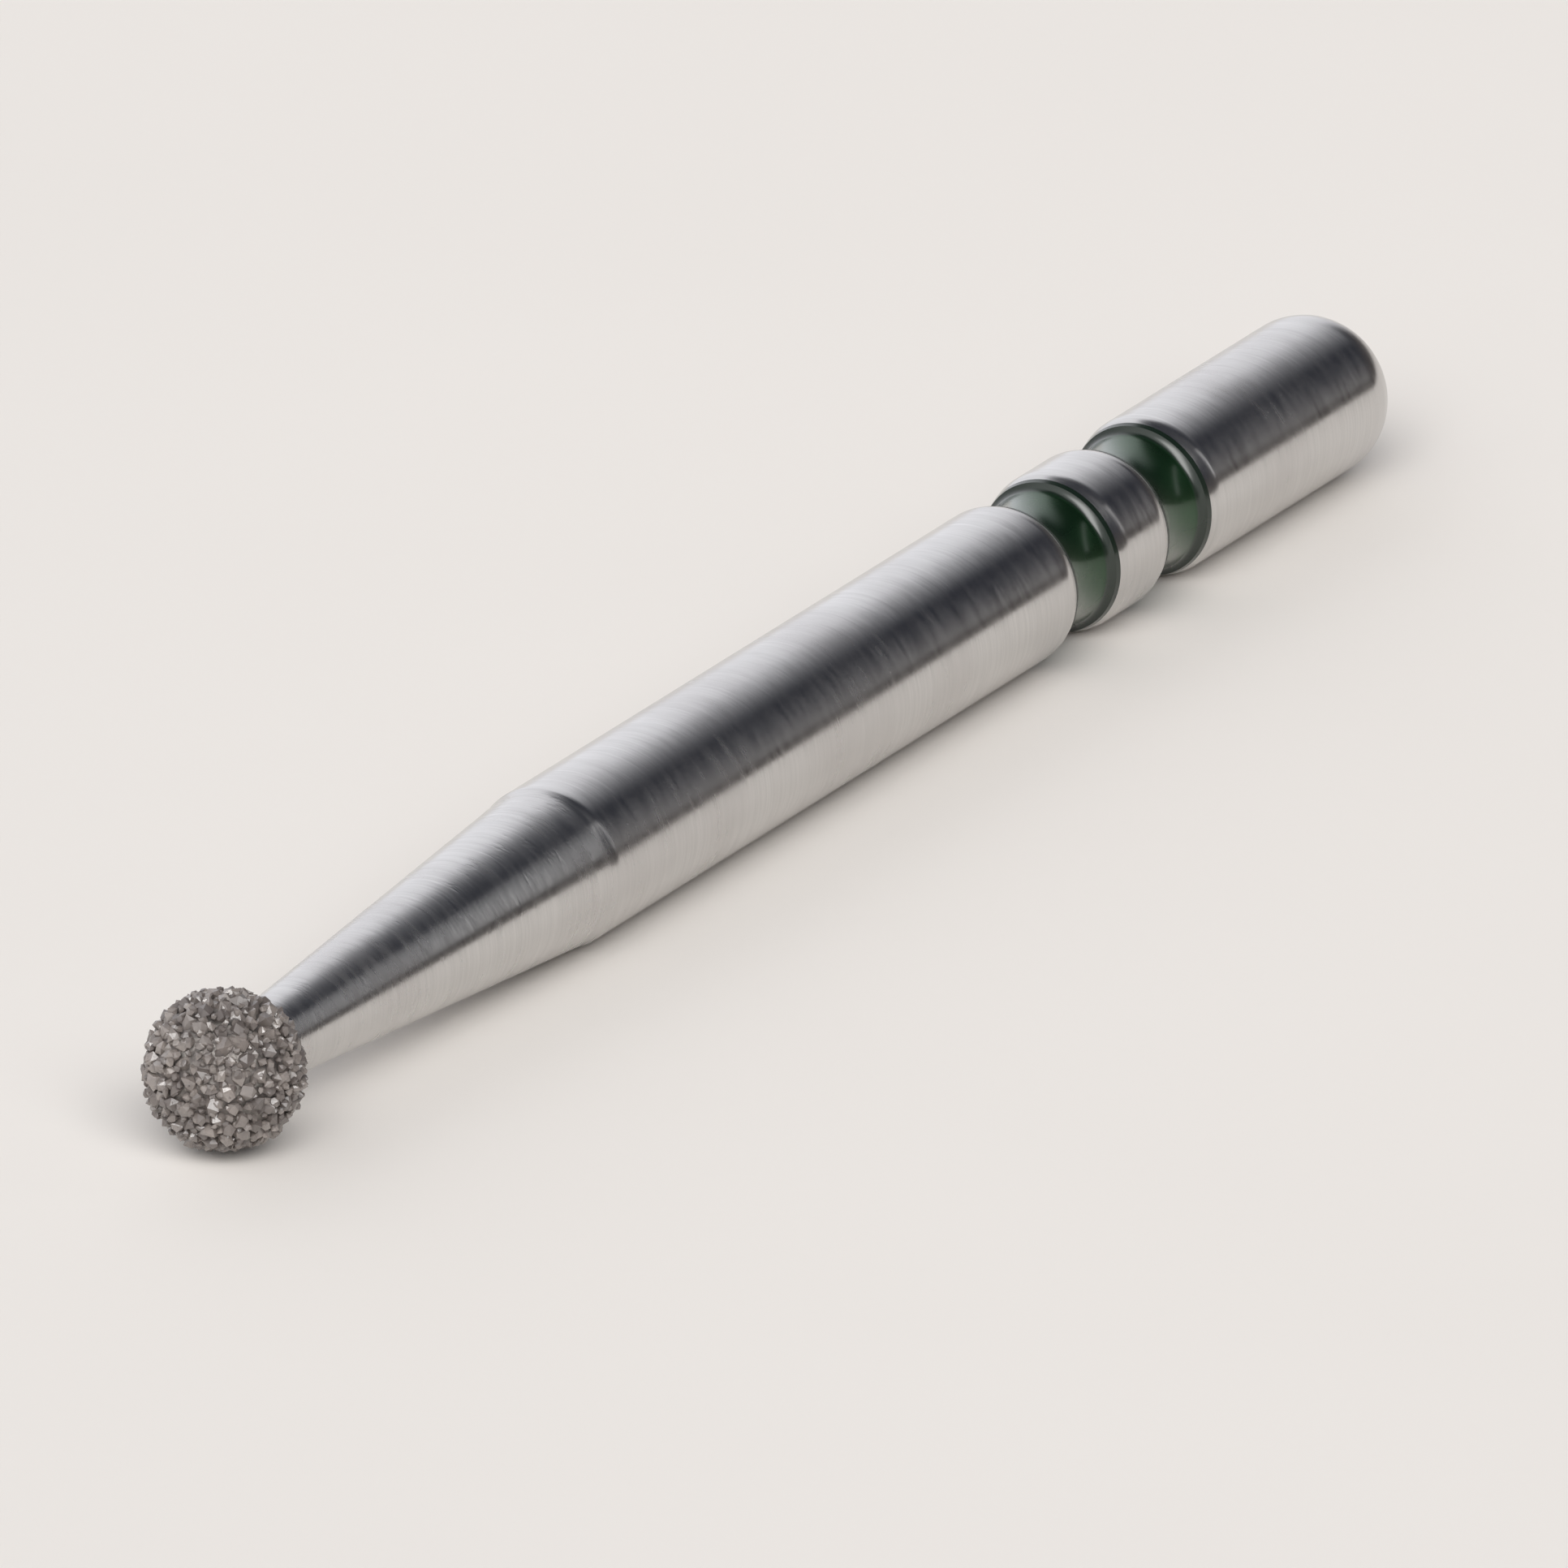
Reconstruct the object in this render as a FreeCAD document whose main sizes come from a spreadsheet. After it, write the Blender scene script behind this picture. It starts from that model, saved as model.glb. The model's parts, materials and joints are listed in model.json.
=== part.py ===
import FreeCAD, Part
import Sketcher
import math
import os
import random

# Friction grip round diamond bur.
#
# One steel blank is turned and ground in one piece: a ball core, a thin neck, a long taper, a small
# shoulder and a cylindrical shank with two shallow grooves and a rounded rear end. A nickel bond
# holds coarse diamond grains on the ball, and green lacquer lies in the two grooves.
#
# Lengths are millimetres. The bur's axis is X, with the ball at -X and the rear end at +X. The
# origin is on the axis, where the shoulder ends and the cylindrical shank starts.

os.makedirs("parts", exist_ok=True)

SIZES = [
    # the blank
    ("overall_length", 21.0, "ball tip, over the diamonds, to rear end"),
    ("shank_length", 14.45, "cylindrical shank with its rounded rear end"),
    ("shank_diameter", 1.6, "friction grip shank"),
    ("end_flat_diameter", 0.24, "flat left in the middle of the rounded rear end"),
    ("neck_diameter", 0.74, "neck where it meets the ball core"),
    ("shoulder_step", 0.02, "how far the shank stands above the end of the taper"),
    ("shoulder_length", 0.1, "slanting face of the shoulder, along the axis"),
    ("head_diameter", 1.6, "ball measured over the diamonds"),
    # the colour grooves
    ("band_from_end", 4.09, "rear end to the middle of the rear groove"),
    ("band_spacing", 1.67, "middle to middle of the two grooves"),
    ("groove_width", 0.7, "wall to wall"),
    ("lip_length", 0.15, "slanting lip on each side of a groove, along the axis"),
    ("lip_drop", 0.05, "how far a lip slants in before the wall"),
    ("groove_sag", 0.035, "how much deeper the groove is in its middle than at its walls"),
    # the lacquer
    ("bare_wall", 0.05, "wall between the lip and the lacquer"),
    ("lacquer_edge", 0.035, "thickness of the lacquer at the walls"),
    ("lacquer_sag", 0.035, "dip of the lacquer's surface between the walls"),
    # the diamond coat
    ("grain_size", 0.17, "largest width of a coarse grain"),
    ("grain_spacing", 0.175, "smallest distance between the middles of two grains"),
    ("grain_proud", 0.085, "how far the tallest grains stand out of the bond"),
    ("grain_height_spread", 0.012, "how much lower than the tallest a grain may sit"),
    ("bond_under_grain", 0.005, "bond between the deepest grain and the ball core"),
]

GOLDEN_ANGLE = math.pi * (3.0 - math.sqrt(5.0))
# Points of a golden angle spiral on a unit sphere stay this far apart, times one over the square
# root of their number.
SPIRAL_SPACING = 3.09
GRAIN_SEED = 21
# A crystal's three widths are random shares of one width, from this least share up to the whole.
GRAIN_LEAST_STRETCH = 0.7
# A grain is this much of the width that its neighbours leave it, from the smallest to the largest.
GRAIN_SIZE_RANGE = (0.88, 1.0)
# Two neighbours fill this share of the distance between their middles, so that they never touch.
GRAIN_CROWDING = 0.99

doc = FreeCAD.newDocument("round_diamond_bur")


def make_sheet():
    """The driving sizes, each in its own named cell."""
    sheet = doc.addObject("Spreadsheet::Sheet", "sizes")
    for row, (alias, value, meaning) in enumerate(SIZES, start=1):
        sheet.set(f"A{row}", alias)
        sheet.set(f"B{row}", str(value))
        sheet.set(f"C{row}", meaning)
        sheet.setAlias(f"B{row}", alias)
    doc.recompute()
    return sheet


sheet = make_sheet()


def size(alias):
    return float(sheet.get(alias))


# Shared expressions, so that pieces which touch take their sizes from the same cells.
SHANK_RADIUS = "sizes.shank_diameter / 2"
BALL_BEHIND = "sizes.overall_length - sizes.shank_length - sizes.head_diameter / 2"
BOND_RADIUS = "sizes.head_diameter / 2 - sizes.grain_proud"
CORE_RADIUS = (
    "sizes.head_diameter / 2 - sizes.grain_size - sizes.grain_height_spread"
    " - sizes.bond_under_grain"
)
NECK_RADIUS = "sizes.neck_diameter / 2"
TAPER_END_RADIUS = "sizes.shank_diameter / 2 - sizes.shoulder_step"
LIP_FOOT_RADIUS = f"{SHANK_RADIUS} - sizes.lip_drop"
LACQUER_EDGE_RADIUS = f"{LIP_FOOT_RADIUS} - sizes.bare_wall"
FLOOR_EDGE_RADIUS = f"{LACQUER_EDGE_RADIUS} - sizes.lacquer_edge"
REAR_BAND = "sizes.shank_length - sizes.band_from_end"
FRONT_BAND = "sizes.shank_length - sizes.band_from_end - sizes.band_spacing"


def value_of(expression):
    """The number that an expression on the sheet's cells stands for."""
    return float(sheet.evalExpression(expression))


# Numbers that stand for an element's own points, a section's two axes and its origin.
START, END, CENTRE = range(1, 4)
LENGTHWISE_AXIS, RADIAL_AXIS = -1, -2
ORIGIN_POINT = (-1, 1)
SKETCH_NORMAL = FreeCAD.Vector(0, 0, 1)


def new_body(name):
    body = doc.addObject("PartDesign::Body", name)
    body.Label = name
    return body


def origin_feature(body, role):
    """One of the body's own origin planes or axes."""
    for feature in body.Origin.OriginFeatures:
        if feature.Role == role:
            return feature
    raise RuntimeError(f"{body.Label} has no {role}")


def section_sketch(body, name):
    """A sketch of half the lengthwise section: across is along the bur, up is away from its axis."""
    sketch = body.newObject("Sketcher::SketchObject", name)
    sketch.AttachmentSupport = [(origin_feature(body, "XZ_Plane"), "")]
    sketch.MapMode = "FlatFace"
    return sketch


def add_line(sketch, start, end):
    return sketch.addGeometry(Part.LineSegment(FreeCAD.Vector(*start, 0), FreeCAD.Vector(*end, 0)))


def add_arc(sketch, centre, radius, start_angle, end_angle):
    circle = Part.Circle(FreeCAD.Vector(*centre, 0), SKETCH_NORMAL, radius)
    return sketch.addGeometry(Part.ArcOfCircle(circle, start_angle, end_angle))


def join(sketch, first, second, kind="Coincident"):
    """Join two (line, point) ends, as they are or tangent."""
    sketch.addConstraint(Sketcher.Constraint(kind, *first, *second))


def bind(sketch, name, kind, elements, expression):
    """A dimension that follows an expression on the sheet's cells."""
    number = sketch.addConstraint(Sketcher.Constraint(kind, *elements, value_of(expression)))
    sketch.renameConstraint(number, name)
    sketch.setExpression(f"Constraints.{name}", expression)


def revolve(body, sketch, kind, name):
    """Turn a section round the bur's axis, adding with Revolution or cutting with Groove."""
    feature = body.newObject(f"PartDesign::{kind}", name)
    feature.Profile = sketch
    feature.ReferenceAxis = (sketch, ["H_Axis"])
    feature.Angle = 360
    doc.recompute()
    return feature


def bind_taper_end(sketch, taper):
    """The place and radius where the taper's line ends, at the foot of the shoulder."""
    place = (taper, END, *ORIGIN_POINT)
    bind(sketch, "shoulder_length", "DistanceX", place, "sizes.shoulder_length")
    bind(sketch, "taper_end_radius", "DistanceY", (*ORIGIN_POINT, taper, END), TAPER_END_RADIUS)


def draw_blank_profile(body):
    """Ball core, neck and taper as one slanting line, shoulder, shank, and rounded rear end."""
    ball = -value_of(BALL_BEHIND)
    core = value_of(CORE_RADIUS)
    neck = value_of(NECK_RADIUS)
    taper_end = (-size("shoulder_length"), value_of(TAPER_END_RADIUS))
    shank = value_of(SHANK_RADIUS)
    flat = size("end_flat_diameter") / 2
    end = size("shank_length")
    rounding = shank - flat
    neck_angle = math.asin(neck / core)
    neck_start = (ball + core * math.cos(neck_angle), neck)

    sketch = section_sketch(body, "blank_profile")
    core_arc = add_arc(sketch, (ball, 0), core, neck_angle, math.pi)
    taper = add_line(sketch, neck_start, taper_end)
    shoulder = add_line(sketch, taper_end, (0, shank))
    side = add_line(sketch, (0, shank), (end - rounding, shank))
    end_arc = add_arc(sketch, (end - rounding, flat), rounding, 0, math.pi / 2)
    end_face = add_line(sketch, (end, flat), (end, 0))
    axis = add_line(sketch, (end, 0), (ball - core, 0))

    join(sketch, (core_arc, START), (taper, START))
    join(sketch, (taper, END), (shoulder, START))
    join(sketch, (shoulder, END), (side, START))
    join(sketch, (side, END), (end_arc, END), "Tangent")
    join(sketch, (end_arc, START), (end_face, START), "Tangent")
    join(sketch, (end_face, END), (axis, START))
    join(sketch, (axis, END), (core_arc, END))
    sketch.addConstraint(Sketcher.Constraint("Horizontal", side))
    sketch.addConstraint(Sketcher.Constraint("Vertical", end_face))
    sketch.addConstraint(Sketcher.Constraint("PointOnObject", axis, START, LENGTHWISE_AXIS))
    sketch.addConstraint(Sketcher.Constraint("PointOnObject", axis, END, LENGTHWISE_AXIS))
    sketch.addConstraint(Sketcher.Constraint("PointOnObject", core_arc, CENTRE, LENGTHWISE_AXIS))
    sketch.addConstraint(Sketcher.Constraint("PointOnObject", shoulder, END, RADIAL_AXIS))

    bind(sketch, "ball_behind", "DistanceX", (core_arc, CENTRE, *ORIGIN_POINT), BALL_BEHIND)
    bind(sketch, "core_radius", "Radius", (core_arc,), CORE_RADIUS)
    bind(sketch, "neck_radius", "DistanceY", (*ORIGIN_POINT, taper, START), NECK_RADIUS)
    bind_taper_end(sketch, taper)
    bind(sketch, "shank_radius", "DistanceY", (*ORIGIN_POINT, shoulder, END), SHANK_RADIUS)
    bind(sketch, "shank_length", "DistanceX", (*ORIGIN_POINT, end_face, END), "sizes.shank_length")
    bind(
        sketch,
        "end_flat_radius",
        "DistanceY",
        (*ORIGIN_POINT, end_face, START),
        "sizes.end_flat_diameter / 2",
    )
    return sketch


def sagging_arc(sketch, middle, half_width, edge_height, sag):
    """An arc between two walls that is lower in its middle than at the walls."""
    radius = (half_width**2 + sag**2) / (2 * sag)
    half_angle = math.asin(half_width / radius)
    centre = (middle, edge_height - sag + radius)
    return add_arc(sketch, centre, radius, 1.5 * math.pi - half_angle, 1.5 * math.pi + half_angle)


def sag_radius_expression(sag):
    """The radius of an arc as wide as the groove with the sag in the named cell."""
    return f"((sizes.groove_width / 2) ^ 2 + sizes.{sag} ^ 2) / (2 * sizes.{sag})"


def draw_trough(sketch, middle_expression, wall_top_expression):
    """A groove's sagging floor and its two walls, up to the radius where the walls end."""
    middle = value_of(middle_expression)
    half_width = size("groove_width") / 2
    floor_edge = value_of(FLOOR_EDGE_RADIUS)
    wall_top = value_of(wall_top_expression)
    left, right = middle - half_width, middle + half_width

    floor = sagging_arc(sketch, middle, half_width, floor_edge, size("groove_sag"))
    right_wall = add_line(sketch, (right, floor_edge), (right, wall_top))
    left_wall = add_line(sketch, (left, wall_top), (left, floor_edge))
    join(sketch, (floor, END), (right_wall, START))
    join(sketch, (left_wall, END), (floor, START))
    for wall in (right_wall, left_wall):
        sketch.addConstraint(Sketcher.Constraint("Vertical", wall))

    left_place = f"{middle_expression} - sizes.groove_width / 2"
    bind(sketch, "left_wall_place", "DistanceX", (*ORIGIN_POINT, floor, START), left_place)
    bind(sketch, "width", "DistanceX", (floor, START, floor, END), "sizes.groove_width")
    bind(sketch, "floor_left", "DistanceY", (*ORIGIN_POINT, floor, START), FLOOR_EDGE_RADIUS)
    bind(sketch, "floor_right", "DistanceY", (*ORIGIN_POINT, floor, END), FLOOR_EDGE_RADIUS)
    bind(sketch, "floor_radius", "Radius", (floor,), sag_radius_expression("groove_sag"))
    bind(sketch, "wall_left", "DistanceY", (*ORIGIN_POINT, left_wall, START), wall_top_expression)
    bind(sketch, "wall_right", "DistanceY", (*ORIGIN_POINT, right_wall, END), wall_top_expression)
    return left_wall, right_wall


def draw_groove_section(body, middle_expression):
    """What is ground away for a groove: the trough, its slanting lips and the air above them."""
    middle = value_of(middle_expression)
    inner = size("groove_width") / 2
    outer = inner + size("lip_length")
    foot = value_of(LIP_FOOT_RADIUS)
    shank = value_of(SHANK_RADIUS)
    above = shank + size("lip_drop")

    sketch = section_sketch(body, "groove_section")
    left_wall, right_wall = draw_trough(sketch, middle_expression, LIP_FOOT_RADIUS)
    right_lip = add_line(sketch, (middle + inner, foot), (middle + outer, shank))
    right_air = add_line(sketch, (middle + outer, shank), (middle + outer, above))
    top = add_line(sketch, (middle + outer, above), (middle - outer, above))
    left_air = add_line(sketch, (middle - outer, above), (middle - outer, shank))
    left_lip = add_line(sketch, (middle - outer, shank), (middle - inner, foot))

    outline = [right_wall, right_lip, right_air, top, left_air, left_lip, left_wall]
    for line, following in zip(outline, outline[1:]):
        join(sketch, (line, END), (following, START))
    for air in (right_air, left_air):
        sketch.addConstraint(Sketcher.Constraint("Vertical", air))
    sketch.addConstraint(Sketcher.Constraint("Horizontal", top))

    lip_length = "sizes.lip_length"
    bind(sketch, "right_lip_length", "DistanceX", (right_lip, START, right_lip, END), lip_length)
    bind(sketch, "left_lip_length", "DistanceX", (left_lip, START, left_lip, END), lip_length)
    bind(sketch, "right_lip_top", "DistanceY", (*ORIGIN_POINT, right_lip, END), SHANK_RADIUS)
    bind(sketch, "left_lip_top", "DistanceY", (*ORIGIN_POINT, left_lip, START), SHANK_RADIUS)
    bind(sketch, "air_height", "DistanceY", (right_air, START, right_air, END), "sizes.lip_drop")
    return sketch


def draw_lacquer_section(body, name, middle_expression):
    """The lacquer between a groove's walls, from the floor to its own sagging surface."""
    middle = value_of(middle_expression)
    half_width = size("groove_width") / 2
    edge = value_of(LACQUER_EDGE_RADIUS)

    sketch = section_sketch(body, name)
    left_wall, right_wall = draw_trough(sketch, middle_expression, LACQUER_EDGE_RADIUS)
    surface = sagging_arc(sketch, middle, half_width, edge, size("lacquer_sag"))
    join(sketch, (right_wall, END), (surface, END))
    join(sketch, (surface, START), (left_wall, START))
    bind(sketch, "surface_radius", "Radius", (surface,), sag_radius_expression("lacquer_sag"))
    return sketch


def make_steel_blank():
    """The turned blank: its outline and two ground grooves with slanting lips."""
    body = new_body("steel_blank")
    turned = revolve(body, draw_blank_profile(body), "Revolution", "turned_outline")
    uncut = turned.Shape.Volume

    groove = revolve(body, draw_groove_section(body, FRONT_BAND), "Groove", "front_groove")
    one_cut = groove.Shape.Volume

    pair = body.newObject("PartDesign::LinearPattern", "groove_pair")
    pair.Originals = [groove]
    pair.Direction = (origin_feature(body, "X_Axis"), [""])
    pair.Occurrences = 2
    pair.setExpression("Length", "sizes.band_spacing")
    body.Tip = pair
    doc.recompute()
    both_cut = pair.Shape.Volume
    if not uncut > one_cut > both_cut:
        raise RuntimeError("a colour groove cut nothing")
    return body


def make_green_band(name, middle_expression):
    """One ring of lacquer between the walls of its groove."""
    body = new_body(name)
    sketch = draw_lacquer_section(body, f"{name}_section", middle_expression)
    revolve(body, sketch, "Revolution", f"{name}_ring")
    return body


def make_bond_shell():
    """The nickel on the ball core, which ends in a feather edge on the neck's slant."""
    ball = -value_of(BALL_BEHIND)
    core = value_of(CORE_RADIUS)
    bond = value_of(BOND_RADIUS)
    neck = value_of(NECK_RADIUS)
    taper_end = (-size("shoulder_length"), value_of(TAPER_END_RADIUS))
    neck_angle = math.asin(neck / core)
    neck_start = (ball + core * math.cos(neck_angle), neck)
    bond_angle = math.asin(neck / bond)
    bond_end = (ball + bond * math.cos(bond_angle), neck)

    body = new_body("bond_shell")
    sketch = section_sketch(body, "bond_section")
    outside = add_arc(sketch, (ball, 0), bond, bond_angle, math.pi)
    inside = add_arc(sketch, (ball, 0), core, neck_angle, math.pi)
    tip = add_line(sketch, (ball - bond, 0), (ball - core, 0))
    on_neck = add_line(sketch, neck_start, bond_end)
    slant = add_line(sketch, neck_start, taper_end)
    sketch.toggleConstruction(slant)

    join(sketch, (outside, END), (tip, START))
    join(sketch, (tip, END), (inside, END))
    join(sketch, (inside, START), (on_neck, START))
    join(sketch, (on_neck, END), (outside, START))
    join(sketch, (slant, START), (inside, START))
    join(sketch, (inside, CENTRE), (outside, CENTRE))
    sketch.addConstraint(Sketcher.Constraint("PointOnObject", on_neck, END, slant))
    sketch.addConstraint(Sketcher.Constraint("PointOnObject", tip, START, LENGTHWISE_AXIS))
    sketch.addConstraint(Sketcher.Constraint("PointOnObject", tip, END, LENGTHWISE_AXIS))
    sketch.addConstraint(Sketcher.Constraint("PointOnObject", inside, CENTRE, LENGTHWISE_AXIS))
    bind(sketch, "ball_behind", "DistanceX", (inside, CENTRE, *ORIGIN_POINT), BALL_BEHIND)
    bind(sketch, "core_radius", "Radius", (inside,), CORE_RADIUS)
    bind(sketch, "bond_radius", "Radius", (outside,), BOND_RADIUS)
    bind(sketch, "neck_radius", "DistanceY", (*ORIGIN_POINT, inside, START), NECK_RADIUS)
    bind_taper_end(sketch, slant)
    revolve(body, sketch, "Revolution", "plated_bond")
    return body


def clear_of_neck(middle, reach):
    """Whether a grain of this reach stays off the slanting surface behind the ball."""
    ball = -value_of(BALL_BEHIND)
    if middle.x < ball:
        return True
    neck = value_of(NECK_RADIUS)
    neck_start = ball + math.sqrt(value_of(CORE_RADIUS) ** 2 - neck**2)
    slope = (value_of(TAPER_END_RADIUS) - neck) / (-size("shoulder_length") - neck_start)
    surface = neck + slope * (middle.x - neck_start)
    return (math.hypot(middle.y, middle.z) - surface) * math.cos(math.atan(slope)) > reach


def grain_directions():
    """Where the grains sit, as outward directions on a golden angle spiral from the ball's tip."""
    spacing = size("grain_spacing")
    highest = (size("head_diameter") - size("grain_size")) / 2
    count = int((SPIRAL_SPACING * highest / spacing) ** 2)
    directions = []
    for index in range(count):
        along = 1 - (2 * index + 1) / count
        ring = math.sqrt(1 - along**2)
        turn = index * GOLDEN_ANGLE
        directions.append(FreeCAD.Vector(-along, ring * math.cos(turn), ring * math.sin(turn)))
    return directions


def cut_cube_faces():
    """The faces of a cube cut to the middles of its edges, as corners with parts -1, 0 and 1."""
    signs = (-1, 1)
    faces = []
    for a in signs:
        for b in signs:
            for c in signs:
                faces.append([(a, b, 0), (0, b, c), (a, 0, c)])
    for a in signs:
        faces.append([(a, 1, 0), (a, 0, 1), (a, -1, 0), (a, 0, -1)])
        faces.append([(1, a, 0), (0, a, 1), (-1, a, 0), (0, a, -1)])
        faces.append([(1, 0, a), (0, 1, a), (-1, 0, a), (0, -1, a)])
    return faces


def crystal_corners(reach, random_numbers):
    """Corners of one blocky crystal about its middle, drawn out and turned at random."""
    axis = FreeCAD.Vector(*(random_numbers.gauss(0, 1) for _ in range(3)))
    turned = FreeCAD.Rotation(axis, random_numbers.uniform(0, 360))
    stretch = [random_numbers.uniform(GRAIN_LEAST_STRETCH, 1) for _ in range(3)]
    corners = {}
    for outline in cut_cube_faces():
        for parts in outline:
            local = FreeCAD.Vector(*(part * drawn for part, drawn in zip(parts, stretch)))
            corners[parts] = turned.multVec(local)
    farthest = max(corner.Length for corner in corners.values())
    return {parts: corner * (reach / farthest) for parts, corner in corners.items()}


def make_grain(outward, reach, top, random_numbers):
    """One crystal on its outward line from the ball's middle, with its highest corner at the top."""
    corners = crystal_corners(reach, random_numbers)
    heights = []
    for corner in corners.values():
        along = outward.dot(corner)
        heights.append(math.sqrt(along**2 + top**2 - corner.Length**2) - along)
    middle = FreeCAD.Vector(-value_of(BALL_BEHIND), 0, 0) + outward * min(heights)
    if not clear_of_neck(middle, reach):
        return None
    faces = []
    for outline in cut_cube_faces():
        points = [middle + corners[parts] for parts in outline]
        faces.append(Part.Face(Part.makePolygon(points + points[:1])))
    shell = Part.makeShell(faces)
    shell.sewShape()
    grain = Part.makeSolid(shell)
    if grain.Volume < 0:
        grain.reverse()
    return grain


def make_crystals():
    """Every grain of the coat, each as wide as its nearest neighbour leaves room for."""
    random_numbers = random.Random(GRAIN_SEED)
    head = size("head_diameter") / 2
    spread = size("grain_height_spread")
    widest = size("grain_size") / 2
    lowest = head - spread - widest
    directions = grain_directions()
    crystals = []
    for index, outward in enumerate(directions):
        others = directions[:index] + directions[index + 1:]
        nearest = lowest * min(outward.distanceToPoint(other) for other in others)
        reach = min(widest, GRAIN_CROWDING * nearest / 2) * random_numbers.uniform(*GRAIN_SIZE_RANGE)
        top = head - spread * random_numbers.random()
        crystal = make_grain(outward, reach, top, random_numbers)
        if crystal:
            crystals.append(crystal)
    return crystals


def make_diamond_coat():
    """The bond shell with its grains, one solid."""
    bond = make_bond_shell()
    grains = make_crystals()
    crystals = doc.addObject("Part::Feature", "crystals")
    crystals.Shape = Part.makeCompound(grains)
    coat = doc.addObject("Part::MultiFuse", "diamond_coat")
    coat.Label = "diamond_coat"
    coat.Shapes = [bond, crystals]
    doc.recompute()
    print(f"{len(grains)} grains")
    return coat


def write_parts(pieces):
    """Check every object, then write one file for each piece."""
    for item in doc.Objects:
        if "Invalid" in item.State or "Error" in item.State:
            raise RuntimeError(f"{item.Label} failed: {item.State}")
    for piece in pieces:
        if piece.Shape.isNull() or not piece.Shape.isValid():
            raise RuntimeError(f"{piece.Label} has no valid shape")
    for piece in pieces:
        piece.Shape.exportStep(f"parts/{piece.Label}.step")
        print(piece.Label, len(piece.Shape.Solids), "solid", round(piece.Shape.Volume, 5), "mm3")


pieces = [
    make_steel_blank(),
    make_diamond_coat(),
    make_green_band("green_band_front", FRONT_BAND),
    make_green_band("green_band_rear", REAR_BAND),
]
doc.recompute()
write_parts(pieces)
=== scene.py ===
import json
import math

import bmesh
import bpy
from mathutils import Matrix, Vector


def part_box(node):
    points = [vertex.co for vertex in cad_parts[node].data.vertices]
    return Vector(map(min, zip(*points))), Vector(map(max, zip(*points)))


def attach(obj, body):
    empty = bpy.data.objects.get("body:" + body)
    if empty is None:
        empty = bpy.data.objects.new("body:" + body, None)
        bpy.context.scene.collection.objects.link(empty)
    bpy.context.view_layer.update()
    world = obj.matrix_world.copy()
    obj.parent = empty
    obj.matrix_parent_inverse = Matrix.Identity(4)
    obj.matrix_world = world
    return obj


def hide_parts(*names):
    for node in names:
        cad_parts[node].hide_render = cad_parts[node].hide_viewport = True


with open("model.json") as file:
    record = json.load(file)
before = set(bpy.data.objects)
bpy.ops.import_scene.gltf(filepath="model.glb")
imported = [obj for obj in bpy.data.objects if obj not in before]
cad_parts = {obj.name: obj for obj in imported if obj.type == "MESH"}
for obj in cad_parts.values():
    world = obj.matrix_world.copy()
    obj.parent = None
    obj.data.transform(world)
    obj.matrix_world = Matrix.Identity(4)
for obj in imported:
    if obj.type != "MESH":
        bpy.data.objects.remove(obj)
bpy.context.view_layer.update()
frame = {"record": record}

# Friction grip round diamond bur: a ground steel blank, green lacquer in two grooves, and coarse
# diamond grains held by nickel on the ball. Lengths are metres, and the bur's axis is X.

MM = 0.001
MICRON = 0.000001


def middle_and_width(node):
    """The middle of a node's box along the bur, and its length there."""
    low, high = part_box(node)
    return (low.x + high.x) / 2, high.x - low.x


# Sizes that the frame gives.
SHANK_RADIUS = frame["record"]["mounts"][0]["dims"]["r_mm"] * MM
REAR_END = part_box("steel_blank")[1].x
FRONT_BAND, GROOVE_WIDTH = middle_and_width("green_band_front")
REAR_BAND = middle_and_width("green_band_rear")[0]

# Sizes of the blank.
OVERALL_LENGTH = 21.0 * MM
HEAD_RADIUS = 0.8 * MM
CORE_RADIUS = 0.613 * MM
NECK_RADIUS = 0.37 * MM
SHOULDER_STEP = 0.02 * MM
SHOULDER_LENGTH = 0.1 * MM
END_FLAT_RADIUS = 0.12 * MM
LIP_LENGTH = 0.15 * MM
LIP_DROP = 0.05 * MM
FLOOR_SAG = 0.035 * MM

# How far the rounding of a lip's outer edge reaches on each side of it, and how worn the lip is.
LIP_ROUND = 0.055 * MM
LIP_WEAR = 0.4

# Points this far from the shoulder and the rear rounding keep one surface's shading out of the next.
SUPPORT_DISTANCE = 0.05 * MM

# Sizes of the lacquer: the wall left bare above it, its thickness at the walls, the sag of its
# surface, how far from a wall it starts to climb, and how far and how thickly it lies on the lips.
BARE_WALL = 0.05 * MM
LACQUER_EDGE = 0.035 * MM
LACQUER_SAG = 0.05 * MM
LACQUER_CREEP = 0.09 * MM
LACQUER_ON_LIP = 0.05 * MM
LACQUER_FILM = 0.002 * MM

# Places and radii that follow from these.
BALL = -(OVERALL_LENGTH - REAR_END - HEAD_RADIUS)
LIP_FOOT = SHANK_RADIUS - LIP_DROP
LACQUER_EDGE_RADIUS = LIP_FOOT - BARE_WALL
FLOOR_EDGE_RADIUS = LACQUER_EDGE_RADIUS - LACQUER_EDGE
LIP_ANGLE = math.atan(LIP_DROP / LIP_LENGTH)
LIP_ROUND_RADIUS = LIP_ROUND / math.tan(LIP_ANGLE / 2)

# The nickel bond.
BOND_RADIUS = 0.7 * MM
BOND_LUMP_HEIGHT = 0.012 * MM
BOND_LUMPS_PER_MM = 9.0

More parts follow.
